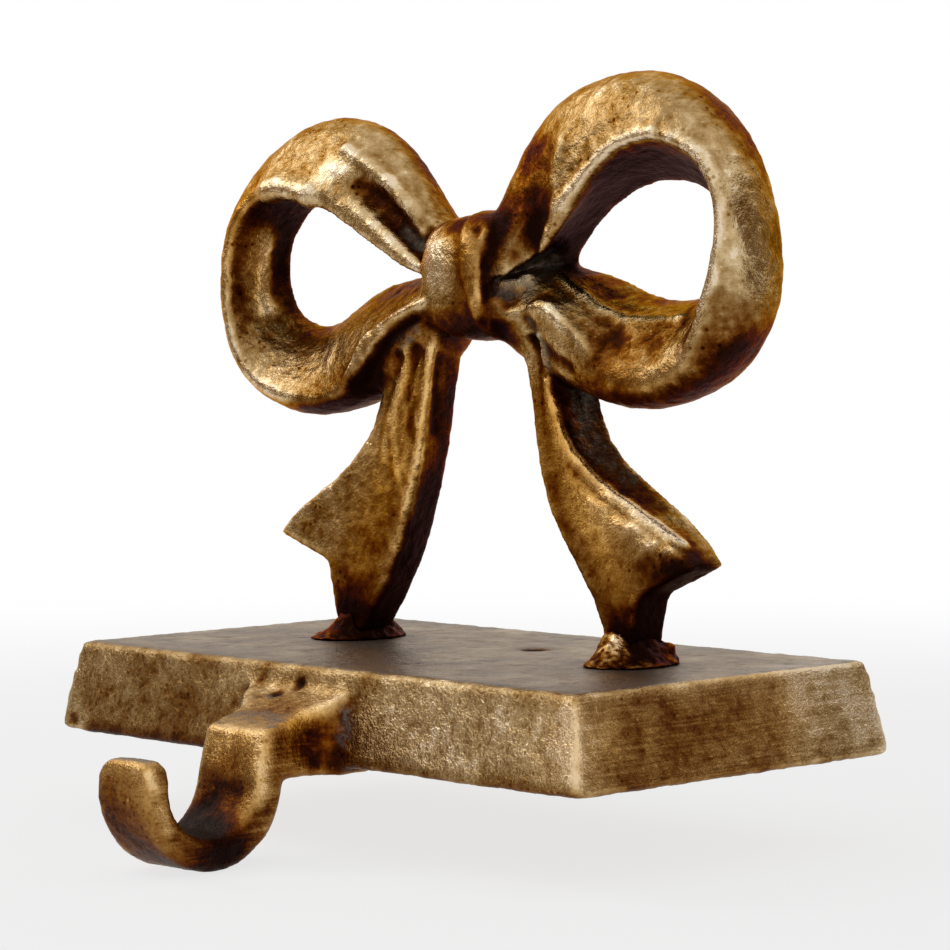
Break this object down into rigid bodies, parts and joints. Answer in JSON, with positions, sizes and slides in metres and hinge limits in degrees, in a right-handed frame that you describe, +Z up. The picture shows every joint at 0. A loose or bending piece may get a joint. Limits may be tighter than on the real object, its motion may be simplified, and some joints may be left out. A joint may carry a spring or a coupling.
{
  "type": "mantel stocking holder",
  "caption": "Cast brass mantel stocking holder: a ribbon bow standing on a heavy drafted slab base, with a J hook reaching over the mantel's front edge.",
  "frame": {"origin": "centre of the slab's flat underside, the face that rests on the mantel", "axes": "+Z up; +X along the slab's long front edge, to the right as seen from the front; -Y to the front, where the hook reaches over the mantel's edge"},
  "size_m": [0.1031, 0.0884, 0.101],
  "materials": {
    "base_with_hook": "antiqued sand-cast brass, top ground, sides brushed, edges worn bright",
    "ribbon_bow": "antiqued cast brass, dark patina in the folds, relieved on the ridges",
    "left_foot_braze": "rough darkened braze",
    "right_foot_braze": "rough darkened braze"
  },
  "bodies": {
    "root": {"base_with_hook": "base_with_hook", "ribbon_bow": "ribbon_bow", "left_foot_braze": "left_foot_braze", "right_foot_braze": "right_foot_braze"}
  },
  "joints": []
}
